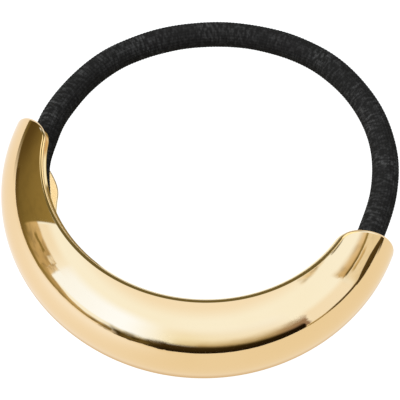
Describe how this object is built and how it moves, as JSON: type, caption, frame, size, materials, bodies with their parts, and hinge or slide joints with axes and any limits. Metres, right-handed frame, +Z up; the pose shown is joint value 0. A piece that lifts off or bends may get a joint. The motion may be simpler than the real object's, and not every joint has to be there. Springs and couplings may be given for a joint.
{
  "type": "hair tie with metal cuff",
  "caption": "Crescent metal cuff, open channel inside, carrying a closed loop of black covered elastic; it wraps the base of a ponytail.",
  "frame": {"origin": "on the surface it rests on, at the middle of the bounding box", "axes": "+Z up, the middle of the metal cuff towards -Y, the free stretch of elastic towards +Y"},
  "size_m": [0.06, 0.0612, 0.0189],
  "materials": {
    "gold_plate": "mirror polish, pale gold plate",
    "black_cover": "matt knitted cover"
  },
  "bodies": {
    "root": {"cuff": "gold_plate", "elastic": "black_cover"}
  },
  "joints": []
}
